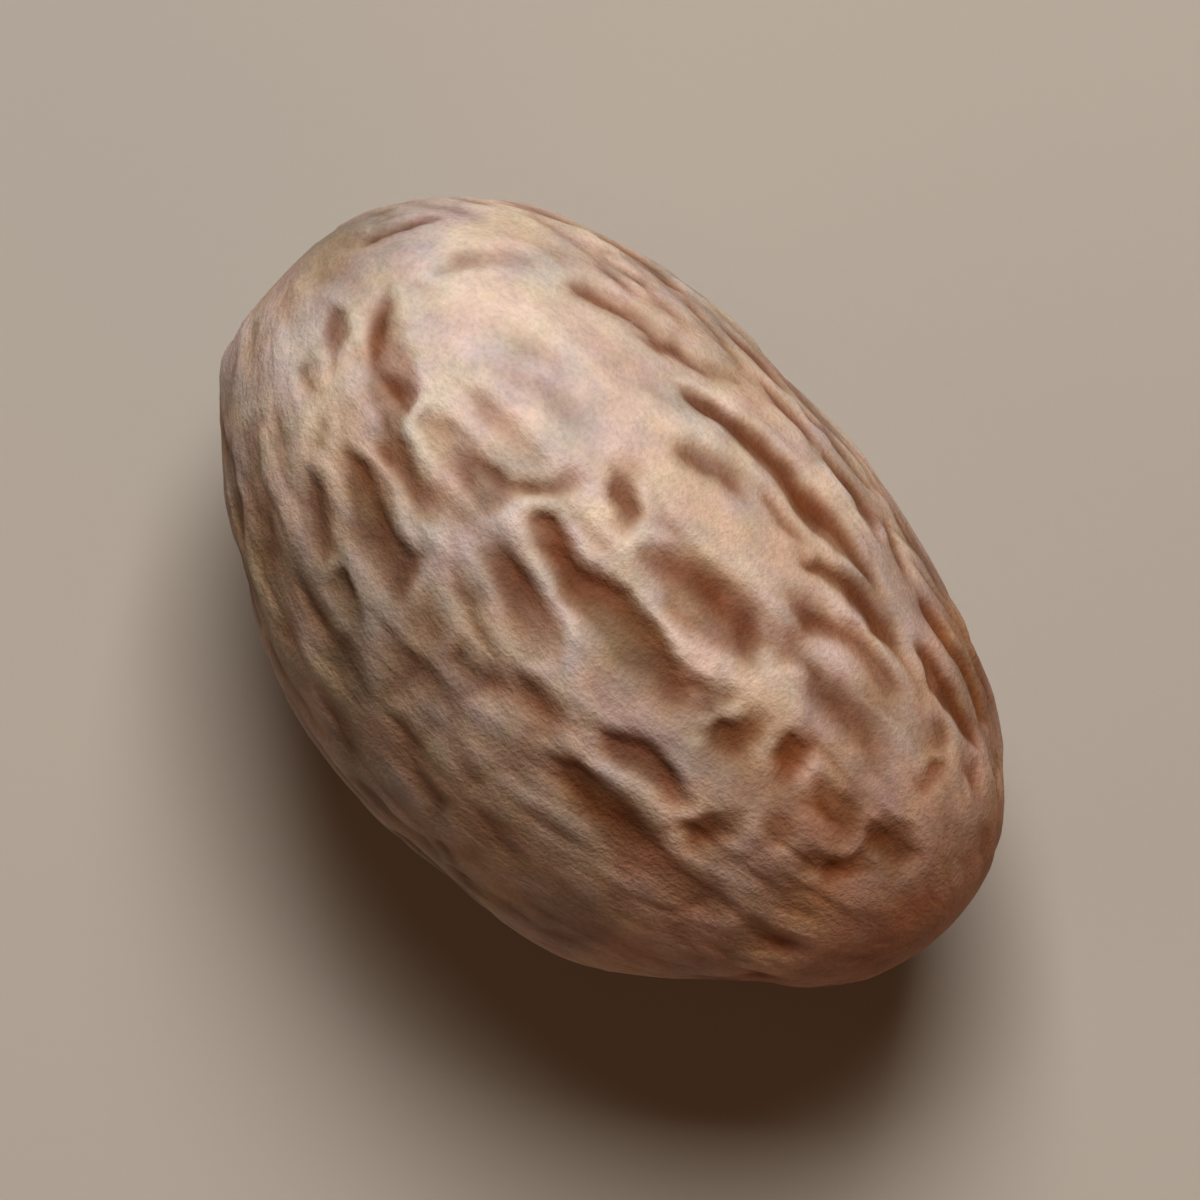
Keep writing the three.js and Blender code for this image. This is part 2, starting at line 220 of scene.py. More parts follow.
@dataclass(frozen=True)
class Egg:
    """The nutmeg's smooth form, in millimetres, lying along X around its own middle."""

    length: float
    width: float
    height: float
    taper: float = 0.05
    bluntness: float = 0.045
    bend: float = 0.92
    lumps: Unevenness = Unevenness(0.12, 6.5, 0)
    rim: float = 0.985
    swells: tuple[Swell, ...] = (
        Swell(6.6, -8.4, 2.6, 0.3),
        Swell(11.0, -5.4, 2.4, -0.42),
        Swell(-9.0, -7.2, 2.8, -0.28),
        Swell(-13.4, -3.0, 1.8, 0.4),
        Swell(-1.4, 9.0, 2.2, -0.2),
    )

    def fullness(self, along: Array) -> Array:
        """Radius as a share of the greatest: a circle's, fuller at the -X end and blunter at both ends."""
        circle = np.sqrt(np.clip(1.0 - along**2, 0.0, None))
        return circle * (1.0 - self.taper * along + self.bluntness * along**4)

    def middle_y(self, along: Array) -> Array:
        """Place of the bent middle line: a parabola with both ends towards +Y and a mean of 0."""
        return self.bend * (along**2 - 1.0 / 3.0)

    def point(self, along: Array, angle: Array) -> Array:
        """Place a point of the egg: half the sizes times (along, fullness cos angle, fullness sin angle).

        Args:
            along: share of the half length, from -1 to 1.
            angle: angle round X, 0 at +Y and growing towards +Z.

        Returns:
            The points, with x, y and z on the last axis.
        """
        radius = self.fullness(along)
        x = along * self.length / 2.0
        y = radius * np.cos(angle) * self.width / 2.0 + self.middle_y(along)
        z = radius * np.sin(angle) * self.height / 2.0
        return np.stack([x, y, z], axis=-1)

    def normal(self, along: Array, angle: Array) -> Array:
        """Point outwards, as the ellipsoid of the same box does: each coordinate over its size squared.

        Args:
            along: share of the half length.
            angle: angle round X.

        Returns:
            Unit vectors, with x, y and z on the last axis.
        """
        radius = self.fullness(along)
        across = (radius * np.cos(angle) / self.width, radius * np.sin(angle) / self.height)
        return unit(np.stack([along / self.length, *across], axis=-1))

    def tips(self) -> Array:
        """Places of both tips, the -X one first."""
        return self.point(np.array((-1.0, 1.0)), np.zeros(2))

    def above(self, x: Array, y: Array) -> tuple[Array, Array]:
        """Find the upper side's point over x, y: the angle whose cosine is y's share of the half width.

        Places outside the rim are moved in to it.

        Args:
            x: place along the nutmeg.
            y: place across it.

        Returns:
            The share of the half length and the angle round X.
        """
        along = 2.0 * x / self.length
        half_width = self.fullness(along) * self.width / 2.0
        return along, np.arccos(np.clip((y - self.middle_y(along)) / half_width, -self.rim, self.rim))

    def unevenness(self, points: Array) -> Array:
        """Lift of the broad lumps and swells: smooth noise plus one bell curve for each swell.

        Args:
            points: places on the egg.

        Returns:
            How far the egg swells out at each place.
        """
        lift = self.lumps.at(points)
        for swell in self.swells:
            distance = np.linalg.norm(points - np.array((swell.x, swell.y, 0.0)), axis=-1)
            lift += swell.height * bell(distance, swell.reach)
        return lift


# ---- The two ends and the seam between them ----


@dataclass(frozen=True)
class Scar:
    """A round scar at one end: a sunken middle in a raised rim, notched by rays.

    The size of the wobble, the rim's place and width and the middle's edge are in radii.
    """

    along: float
    degrees: float
    radius: float
    sunk: float
    rim: float
    rays: int
    ray_depth: float
    wobble: Unevenness = Unevenness(0.18, 0.8, 31)
    ray_bend: Unevenness = Unevenness(3.0, 2.0, 32)
    rim_place: float = 1.15
    rim_width: float = 0.28
    edge: Range = (0.55, 1.05)

    def centre(self, egg: Egg) -> Array:
        """Place of the scar's middle on the egg."""
        return egg.point(np.array(self.along), np.radians(self.degrees))

    def depth(self, egg: Egg, points: Array) -> Array:
        """Sink the middle, raise a bell-shaped rim round it and cut the rays into the rim.

        Args:
            egg: the form that the scar is on.
            points: places on it.

        Returns:
            Depth below the egg, negative on the rim.
        """
        offset = points - self.centre(egg)
        share = np.linalg.norm(offset, axis=-1) / self.radius * (1.0 + self.wobble.at(points, self.radius))
        turn = np.arctan2(offset[..., 2], offset[..., 1])
        ray = np.clip(np.sin(self.rays * turn + self.ray_bend.at(points)), 0.0, 1.0) ** 2
        rim = bell(share - self.rim_place, self.rim_width)
        middle = 1.0 - smooth_step(share, *self.edge)
        return self.sunk * middle - self.rim * rim + self.ray_depth * ray * rim


@dataclass(frozen=True)
class Raphe:
    """The shallow groove from the hilum to the chalaza, where a half plane through both cuts the egg."""

    degrees: float = 215.0
    half_width: float = 0.75
    depth: float = 0.32
    waver: Unevenness = Unevenness(0.35, 5.0, 5)
    fade: float = 1.5

    def depth_at(self, hilum: Array, chalaza: Array, points: Array) -> Array:
        """Fall off from the half plane as a bell curve.

        Args:
            hilum: middle of the hilum.
            chalaza: middle of the chalaza.
            points: places on the egg.

        Returns:
            Depth of the groove at each place.
        """
        turn = math.radians(self.degrees)
        side = np.array((0.0, math.cos(turn), math.sin(turn)))
        across = unit(np.cross(chalaza - hilum, side))
        offset = points - hilum
        off = offset @ across + self.waver.at(points)
        return self.depth * bell(off, self.half_width) * smooth_step(offset @ side, 0.0, self.fade)


# ---- The hollows ----


@dataclass(frozen=True)
class Hollow:
    """A long dimple of the upper side as seen from above, with its slope in degrees.

    One that is joined runs into the hollow before it in the list, with no ridge between them. The wall is
    wider than an even one by the factor soft.
    """

    x: float
    y: float
    length: float
    width: float
    slope: float
    depth: float
    joined: bool = False
    soft: float = 1.2


LEADING_HOLLOWS: tuple[Hollow, ...] = (
    # furrows along the +Y edge
    Hollow(-5.9, 6.45, 4.6, 1.1, 13, 0.2, soft=1.8),
    Hollow(-3.4, 7.1, 2.2, 0.8, 22, 0.17, joined=True, soft=1.4),
    Hollow(0.9, 6.45, 9.2, 0.85, 0, 0.252, soft=0.9),
    Hollow(8.4, 6.55, 4.4, 0.6, -17, 0.216, soft=0.8),
    Hollow(8.9, 5.65, 4.0, 0.6, -15, 0.216, soft=0.8),
    Hollow(2.6, 7.65, 2.6, 0.6, -10, 0.192),
    Hollow(4.7, 7.5, 1.8, 0.5, -30, 0.168),
    Hollow(1.2, 8.4, 3.4, 0.7, -2, 0.156),
    Hollow(-4.2, 8.1, 3.4, 0.7, 2, 0.108),
    Hollow(-0.7, 8.0, 2.2, 0.6, -5, 0.108),
    Hollow(6.9, 7.4, 3.4, 0.5, -12, 0.12),
    Hollow(9.6, 6.9, 3.0, 0.45, -25, 0.12),
    # between them and the large hollows
    Hollow(4.9, 5.5, 4.6, 1, 3, 0.2, soft=1.0),
    Hollow(-0.8, 5.0, 3.0, 0.9, 12, 0.168, soft=1.3),
    Hollow(1.5, 5.65, 1.9, 0.5, 0, 0.108),
    Hollow(5.6, 4.35, 4.4, 1, 11, 0.19, soft=1.0),
    Hollow(4.5, 3.2, 2.2, 0.3, -55, 0.05, joined=True),
    Hollow(9.3, 4.7, 1.3, 0.7, -25, 0.156),
    Hollow(10.4, 3.6, 1.6, 0.6, 80, 0.096),
    # the large hollows, and the small ones between them and the smooth patch
    Hollow(7.5, 2.7, 4.6, 1.8, 8, 0.17, soft=1.5),
    Hollow(1.7, 1.8, 5.4, 2.3, 8, 0.21, soft=1.4),
    Hollow(-2.2, 2.4, 1.9, 0.9, -35, 0.2, soft=1.0),
    Hollow(-1.9, 1.25, 1.6, 0.8, -15, 0.072),
    # the furrow that comes down the end of the smooth patch and runs along its lower side
    Hollow(-3.9, 1.15, 2.9, 0.9, 54, 0.14, soft=1.5),
    Hollow(-6.5, -0.5, 4.2, 1.0, -2, 0.14, joined=True, soft=1.0),
    Hollow(-6.1, 1.35, 3.8, 0.6, 2, 0.07),
    # the winding furrow of the middle, and the pits that it ends in
    Hollow(-1.9, -0.35, 4.1, 1.3, -22, 0.26, soft=0.8),
    Hollow(1.4, -0.4, 4.1, 1.7, -1, 0.24, joined=True, soft=1.0),
    Hollow(3.9, 0.0, 2.0, 1.2, 30, 0.15, joined=True, soft=1.0),
    Hollow(1.9, -1.25, 2.8, 1.3, -15, 0.05, joined=True, soft=1.8),
    Hollow(5.5, -0.25, 2.4, 2.3, 20, 0.26, soft=1.6),
    Hollow(6.95, 0.65, 1.7, 1.4, 0, 0.29, soft=1.3),
    Hollow(9.0, 0.75, 3.0, 1.2, 0, 0.19, soft=1.5),
    Hollow(11.2, 0.95, 1.7, 1.3, -20, 0.22, soft=1.4),
    Hollow(10.9, -0.15, 1.9, 1.4, 70, 0.23, joined=True, soft=1.4),
    Hollow(9.9, -1.0, 1.8, 1.2, 25, 0.17, joined=True, soft=1.5),
    Hollow(8.3, -1.05, 1.6, 1.1, 0, 0.17, soft=1.5),
    # the furrow round the hilum end of the smooth patch
    Hollow(-12.8, 3.1, 3.0, 1.0, 68, 0.18, soft=1.6),
    Hollow(-10.5, 0.3, 3.8, 1.3, -43, 0.2, soft=1.7),
    Hollow(-8.7, -1.2, 2.4, 1.1, -35, 0.24, joined=True, soft=1.4),
    Hollow(-6.9, -2.05, 3.0, 1.0, -10, 0.21, joined=True, soft=1.2),
    Hollow(-10.0, 4.6, 3.8, 0.8, 50, 0.06),
    Hollow(-7.1, 3.6, 1.6, 0.6, 10, 0.03),
    Hollow(-6.2, 2.75, 2.8, 0.5, 12, 0.03),
    Hollow(-10.9, 2.6, 0.9, 0.4, 40, 0.048),
    Hollow(-11.6, -0.5, 2.8, 0.8, -40, 0.132),
    Hollow(-11.0, -2.0, 2.4, 0.8, -35, 0.1),
    Hollow(-10.2, -2.6, 1.6, 0.7, -45, 0.084),
    # the -Y half
    Hollow(-1.7, -1.95, 4.7, 1.75, -14, 0.192),
    Hollow(-2.7, -3.2, 3.1, 1, -15, 0.132),
    Hollow(-1.5, -4.45, 3.5, 1.35, -8, 0.12),
    Hollow(0.7, -3.65, 2.2, 1.2, -12, 0.096, soft=1.6),
    Hollow(4.0, -2.65, 3.8, 1.6, -3, 0.25, soft=1.3),
    Hollow(7.15, -2.4, 2.3, 1.5, 82, 0.19, soft=1.4),
    Hollow(4.0, -4.6, 4.7, 1.75, 4, 0.168, soft=1.0),
    Hollow(7.4, -4.3, 4.5, 1.45, 6, 0.084, joined=True, soft=1.5),
    Hollow(10.6, -3.4, 2.8, 1.1, 14, 0.108, soft=1.7),
    Hollow(3.4, -5.8, 2.7, 1.35, 0, 0.072, soft=1.7),
    Hollow(1.7, -5.5, 1.7, 1.25, -20, 0.06, soft=1.7),
    Hollow(6.4, -5.95, 1.9, 1.25, 0, 0.048, soft=1.7),
    Hollow(9.0, -6.0, 2.0, 1.1, 20, 0.048, soft=1.7),
    Hollow(9.8, -2.4, 2.6, 1.0, 15, 0.072, soft=1.7),
    # the steep side below it
    Hollow(-6.6, -3.5, 5.5, 1.95, -22, 0.228, soft=0.9),
    Hollow(-8.0, -4.65, 3.7, 1.45, -33, 0.144, soft=1.7),
    Hollow(-6.0, -5.7, 2.0, 1.25, -25, 0.16, soft=1.2),
    Hollow(-3.6, -4.2, 2.3, 1.35, -25, 0.084, soft=1.7),
    Hollow(-2.9, -5.6, 3.5, 1.75, -10, 0.12, soft=1.7),
    Hollow(-5.3, -6.95, 4.4, 1.65, -12, 0.12, soft=1.7),
    Hollow(-0.6, -7.6, 4.0, 1.45, -16, 0.12, soft=1.7),
    Hollow(0.2, -6.3, 2.9, 1.35, -22, 0.108, soft=1.7),
    Hollow(-8.8, -6.1, 3.9, 1.65, -38, 0.12, soft=1.7),
    Hollow(-3.0, -8.5, 3.3, 1.25, -20, 0.12, soft=1.7),
    Hollow(2.6, -7.3, 3.7, 1.45, -8, 0.06, soft=1.7),
)


@dataclass(frozen=True)
class CalmArea:
    """A smoother area of the upper side, with the share of the hollows' depth that is left in it."""

    x: float
    y: float
    half_length: float
    half_width: float
    share_left: float


CALM_AREAS: tuple[CalmArea, ...] = (
    CalmArea(-7.8, 3.4, 5.4, 2.9, 0.0),
    CalmArea(0.5, 4.3, 3.6, 1.2, 0.0),
    CalmArea(5.5, 1.8, 0.9, 1.2, 0.0),
    CalmArea(8.6, 2.8, 2.8, 1.1, 0.0),
    CalmArea(6.5, -7.2, 6.0, 1.8, 0.3),
    CalmArea(12.8, 0.5, 1.9, 5.0, 0.3),
    CalmArea(-12.9, -1.0, 1.9, 4.2, 0.3),
    CalmArea(-4.0, -9.0, 5.0, 1.2, 0.5),
)
# Where a calm area starts and is full, in its half sizes.
CALM_EDGE: Range = (1.15, 0.85)


@dataclass(frozen=True)
class HollowRule:
    """How one crowd of hollows is laid: the least and greatest sizes, and how they keep apart.

    Crowding is the share of its own half sizes that a hollow keeps free.
    """

    length: Range
    width: Range
    depth: Range
    crowding: float
    tries: int
    stride: int
    channel: int
    bare_round_ends: float
    highest: float
    soft: float


MAIN_CROWD = HollowRule(
    (3.2, 6.6), (0.9, 1.9), (0.08, 0.17), crowding=0.72, tries=3000, stride=1237, channel=7,
    bare_round_ends=3.0, highest=2.5, soft=1.5,
)
GAP_FILLERS = HollowRule(
    (1.4, 3.4), (0.6, 1.2), (0.05, 0.11), crowding=0.95, tries=6000, stride=2309, channel=8,
    bare_round_ends=2.2, highest=4.0, soft=1.6,
)


def nearest_distance(points: Array, spots: Array) -> Array:
    """Distance of each point from the nearest of some spots."""
    return np.min([np.linalg.norm(points - spot, axis=-1) for spot in spots], axis=0)


# The reach of a hollow that isn't near, and the least reach that is told apart, in half sizes.
FAR = 1e3
LEAST_REACH = 1e-2


@dataclass
class HollowField:
    """All hollows of the nutmeg, as equal lists of arrays, and the groups of them that run together.

    Variety is the share by which noise changes a value. Lean is the share by which a floor or a wall differs
    from one side to the other.
    """

    egg: Egg
    hilum: Array
    chalaza: Array
    hilum_pull: float = 1.8
    # The wide and the fine straying of each coordinate.
    straying: tuple[tuple[Unevenness, Unevenness], ...] = tuple(
        (Unevenness(0.36, 1.5, n), Unevenness(0.14, 0.6, 10 + n)) for n in (1, 2, 3)
    )
    spread: float = 0.45
    merging: float = 3.0
    wall_start: float = -0.15
    wall_reach: float = 1.0
    wall_lean: float = 0.45
    softness_variety: Unevenness = Unevenness(0.35, 2.1, 9)
    floor_variety: Unevenness = Unevenness(0.2, 0.8, 8)
    floor_stretch: float = 0.6
    crown: float = 0.25
    lean: float = 1.0
    end_lean: float = 0.3
    least_growth: float = 0.1
    near_lengths: float = 2.2
    near_margin: float = 1.0
    ridge_foot: float = 0.55
    ridge_variety: Unevenness = Unevenness(0.4, 2.3, 6)
    ridge_height: float = 0.72
    ridge_height_variety: Unevenness = Unevenness(0.28, 1.7, 4)
    least_contrast: float = 0.3
    middle: list[Array] = field(default_factory=list)
    axes: list[Array] = field(default_factory=list)
    half_size: list[Array] = field(default_factory=list)
    soft: list[float] = field(default_factory=list)
    depth: list[float] = field(default_factory=list)
    groups: list[list[int]] = field(default_factory=list)

    def bare_spots(self) -> Array:
        """Places that hollows keep away from: the two scars and the two tips."""
        return np.stack([self.hilum, self.chalaza, *self.egg.tips()])

    def grain(self, points: Array, normals: Array) -> Array:
        """Run away from the hilum and towards the chalaza: the sum of both unit vectors, laid in the surface.

        Args:
            points: places on the egg.
            normals: its normals there.

        Returns:
            Unit vectors along the surface.
        """
        pull = self.hilum_pull * unit(points - self.hilum) + unit(self.chalaza - points)
        return unit(pull - np.sum(pull * normals, axis=-1, keepdims=True) * normals)

    def add(
        self,
        middle: Array,
        normal: Array,
        lengthwise: Array,
        sizes: tuple[float, float],
        depth: float,
        soft: float,
        joined: bool = False,
    ) -> None:
        """Add one hollow.

        Args:
            middle: its middle on the egg.
            normal: the egg's normal there.
            lengthwise: its long direction, along the surface.
            sizes: its length and its width, which its wall spreads beyond.
            depth: its depth.
            soft: how much wider than an even one its wall is.
            joined: whether it runs into the hollow added before it.
        """
        if joined:
            self.groups[-1].append(len(self.middle))
        else:
            self.groups.append([len(self.middle)])
        self.middle.append(middle)
        self.axes.append(np.stack([lengthwise, np.cross(normal, lengthwise), normal]))
        length, width = (size + 2.0 * self.spread for size in sizes)
        self.half_size.append(np.array((length, width, length)) / 2.0)
        self.depth.append(depth)
        self.soft.append(soft)

    def add_leading(self) -> None:
        """Add the hollows of the upper side, each turned so that it has its slope as seen from above."""
        for hollow in LEADING_HOLLOWS:
            along, angle = self.egg.above(np.array(hollow.x), np.array(hollow.y))
            normal = self.egg.normal(along, angle)
            turn = math.radians(hollow.slope)
            flat = np.array((math.cos(turn), math.sin(turn), 0.0))
            rise = np.array((0.0, 0.0, -(flat @ normal) / normal[2]))
            lengthwise = unit(flat + rise)
            middle = self.egg.point(along, angle)
            sizes = (hollow.length, hollow.width)
            self.add(middle, normal, lengthwise, sizes, hollow.depth, hollow.soft, hollow.joined)

    def calmness(self, points: Array) -> Array:
        """Share of a hollow's depth that is left: 1, less a smooth step into the calmest area.

        Args:
            points: places on the egg.

        Returns:
            The share for each place.
        """
        left = np.ones(points.shape[:-1])
        for area in CALM_AREAS:
            x = (points[..., 0] - area.x) / area.half_length
            y = (points[..., 1] - area.y) / area.half_width
            within = smooth_step(np.hypot(x, y), *CALM_EDGE) * (points[..., 2] > 0.0)
            left = np.minimum(left, 1.0 - within * (1.0 - area.share_left))
        return left

    def add_by_rule(self, rule: HollowRule) -> None:
        """Try places of a golden-angle spiral in a scattered order, and keep those that are free.

        Args:
            rule: sizes of the hollows and how they keep apart.
        """
        place = np.arange(rule.tries) * rule.stride % rule.tries
        along = 1.0 - (2.0 * place + 1.0) / rule.tries
        angle = place * math.pi * GOLDEN_HALF_TURNS
        points = self.egg.point(along, angle)
        normals = self.egg.normal(along, angle)
        grains = self.grain(points, normals)
        calm = self.calmness(points)
        channel = np.full_like(place, rule.channel)
        length, width, depth = (
            low + (high - low) * scatter(place, np.full_like(place, kind), channel)
            for kind, (low, high) in enumerate((rule.length, rule.width, rule.depth))
        )
        from_bare = nearest_distance(points, self.bare_spots())
        free = (from_bare > rule.bare_round_ends) & (calm > 0.0) & (points[:, 2] < rule.highest)
        for n in np.flatnonzero(free):
            kept = rule.crowding * np.array((length[n], width[n], length[n])) / 2.0 - self.spread
            offset = np.einsum("hij,hj->hi", np.array(self.axes), points[n] - np.array(self.middle))
            if np.linalg.norm(offset / (np.array(self.half_size) + kept), axis=-1).min() > 1.0:
                sizes = (length[n], width[n])
                self.add(points[n], normals[n], grains[n], sizes, depth[n] * calm[n], rule.soft)

    def basin(self, points: Array, group: list[int]) -> tuple[Array, Array, Array]:
        """Sink a group of hollows that run together: a wall, and a crowned floor that leans.

        A point's reach in a hollow is its distance from the middle in half sizes. The group's reach is the
        sum of its hollows' reaches to the power -merging, to the power -1 / merging, so that the nearest
        counts most. The wall is a smooth step of the distance in from the edge, which is 1 less the reach,
        over the reach's growth for each millimetre. The floor leans to the side its second axis points to,
        and to the end its first points from, and the wall is steeper on that side.

        Args:
            points: places on the egg.
            group: numbers of its hollows.

        Returns:
            The reach of each place, its growth for each millimetre as a vector, and the depth there.
        """
        total = np.zeros(len(points))
        growth = np.zeros(points.shape)
        depth = total.copy()
        half_width = total.copy()
        side = total.copy()
        soft = total.copy()
        for n in group:
            offset = (points - self.middle[n]) @ self.axes[n].T / self.half_size[n]
            reach = np.maximum(np.linalg.norm(offset, axis=-1), LEAST_REACH)
            slope = (offset / self.half_size[n]) @ self.axes[n] / reach[:, None]
            weight = reach**-self.merging
            place = np.clip(offset, -1.0, 1.0)
            leaning = 1.0 + self.lean * place[:, 1] - self.end_lean * place[:, 0]
            total += weight
            growth += (weight / reach)[:, None] * slope
            depth += weight * self.depth[n] * leaning
            half_width += weight * self.half_size[n][1]
            side += weight * place[:, 1]
            soft += weight * self.soft[n]
        reach = total ** (-1.0 / self.merging)
        growth *= (reach / total)[:, None]
        in_from_edge = (1.0 - reach) / np.maximum(np.linalg.norm(growth, axis=-1), self.least_growth)
        softness = soft / total * (1.0 + self.softness_variety.at(points))
        wall_end = np.minimum(self.wall_reach, half_width / total)
        wall_end = wall_end * (1.0 - self.wall_lean * side / total) * softness
        wall = smooth_step(in_from_edge, self.wall_start, wall_end)
        crowned = 1.0 - self.crown * np.clip(reach, 0.0, 1.0) ** 2
        stretched = points * np.array((self.floor_stretch, 1.0, 1.0))
        crowned *= 1.0 + self.floor_variety.at(stretched)
        return reach, growth, depth / total * wall * crowned

    def sunk(self, points: Array) -> Array:
        """Sink each point by the group of hollows it belongs to, less the ridge towards the next group.

        A point belongs to the group of least reach. The distance off the ridge is the next group's reach less
        the least, over the difference of their growths, and the ridge is a smooth step of it.

        Args:
            points: places on the egg.

        Returns:
            Depth below the egg at each place.
        """
        stray = [wide.at(points) + fine.at(points) for wide, fine in self.straying]
        strayed = points + np.stack(stray, axis=-1)
        least = np.full(points.shape[:-1], FAR)
        second = least.copy()
        growth = np.ones(points.shape)
        next_growth = -growth
        depth = np.zeros(points.shape[:-1])
        for group in self.groups:
            near = np.zeros(points.shape[:-1], bool)
            for n in group:
                off = np.abs(strayed - self.middle[n]).max(axis=-1)
                near |= off < self.near_lengths * self.half_size[n][0] + self.near_margin
            reach = np.full(points.shape[:-1], FAR)
            own_growth = np.ones(points.shape)
            own_depth = np.zeros(points.shape[:-1])
            reach[near], own_growth[near], own_depth[near] = self.basin(strayed[near], group)
            first = reach < least
            runner_up = ~first & (reach < second)
            second = np.where(first, least, np.where(runner_up, reach, second))
            next_growth = np.where(runner_up[..., None], own_growth, next_growth)
            next_growth = np.where(first[..., None], growth, next_growth)
            least = np.where(first, reach, least)
            growth = np.where(first[..., None], own_growth, growth)
            depth = np.where(first, own_depth, depth)
        contrast = np.maximum(np.linalg.norm(next_growth - growth, axis=-1), self.least_contrast)
        off_ridge = (second - least) / contrast
        ridge_width = self.ridge_foot * (1.0 + self.ridge_variety.at(points))
        ridge = 1.0 - smooth_step(off_ridge / ridge_width, 0.0, 1.0)
        ridge_height = self.ridge_height + self.ridge_height_variety.at(points)
        return depth * (1.0 - ridge_height * ridge)


# ---- Finishes ----


def linear(hex_colour: str) -> tuple[float, float, float, float]:
    """Turn an sRGB hex colour to linear, by sRGB's curve: a straight start, then a power of 2.4.

    Args:
        hex_colour: a colour such as "#c8a082".

    Returns:
        Red, green, blue and alpha, from 0 to 1.
    """
    shares = [int(hex_colour[n : n + 2], 16) / 255.0 for n in (1, 3, 5)]
    red, green, blue = (s / 12.92 if s <= 0.04045 else ((s + 0.055) / 1.055) ** 2.4 for s in shares)
    return red, green, blue, 1.0


def add_node(
    tree: bpy.types.NodeTree,
    kind: str,
    inputs: dict[str | int, Any] | None = None,
    **settings: Any,
) -> bpy.types.Node:
    """Add a node with its settings, and give each named input a value or a link.

    Args:
        tree: node tree that gets the node.
        kind: Blender's name for the kind of node.
        inputs: value or output socket for each input, by name or number.
        settings: the node's own properties.

    Returns:
        The new node.
    """
    node = tree.nodes.new(kind)
    for name, value in settings.items():
        setattr(node, name, value)
    for name, value in (inputs or {}).items():
        if isinstance(value, bpy.types.NodeSocket):
            tree.links.new(value, node.inputs[name])
        else:
            node.inputs[name].default_value = value
    return node


class Trait(Enum):
    """What the nutmeg's mesh tells its skin about each point."""

    # Depth of the hollows: their browner dirt, and painted shade in them.
    FLOOR = "floor"
    # Depth below the mean of the points around: pales the crests, and darkens the pits as painted shade with
    # some dirt.
    CAVITY = "cavity"
    # Pale share: rubbed skin, and painted light on the top and the -X end, which face the key.
    PALE_AND_PAINTED_LIGHT = "pale"
    # Grey bloom, and painted shade on the steep -Y side.
    BLOOM = "bloom_and_shade"
    # Reddish stain, and painted shade at the chalaza end and the +Y rim.
    STAIN_AND_SHADE = "stain_and_shade"
    GRAIN = "grain"


class Pattern(Enum):
    """The skin's noises: size of a cell in millimetres, octaves and weight of the finer ones."""

    # Broad mottling, as drying leaves it.
    MOTTLE = (2.4, 4.0, 0.6)
    # Fibres of the seed coat, along the grain.
    STREAKS = (0.22, 3.0, 0.65)
    # Pores and oil spots.
    SPECKS = (0.16, 2.0, 0.6)
    # Rubbed and unrubbed skin, in blotches about half a millimetre wide.
    BLOTCHES = (0.9, 3.0, 0.7)
    # Clouds of a redder and a greyer brown, and of a rosy and an olive one, as tannins dry unevenly.
    WARMTH = (2.8, 3.0, 0.6)
    BLUSH = (1.9, 3.0, 0.6)


# Numbers of a Mix node's sockets where it mixes colours.
FACTOR, COLOUR_A, COLOUR_B, COLOUR_OUT = 0, 6, 7, 2
RAMP_ENDS = ("From Min", "From Max", "To Min", "To Max")
# The values that a ramp starts and ends at, and what it gives there.
Ramp = tuple[float, float, float, float]


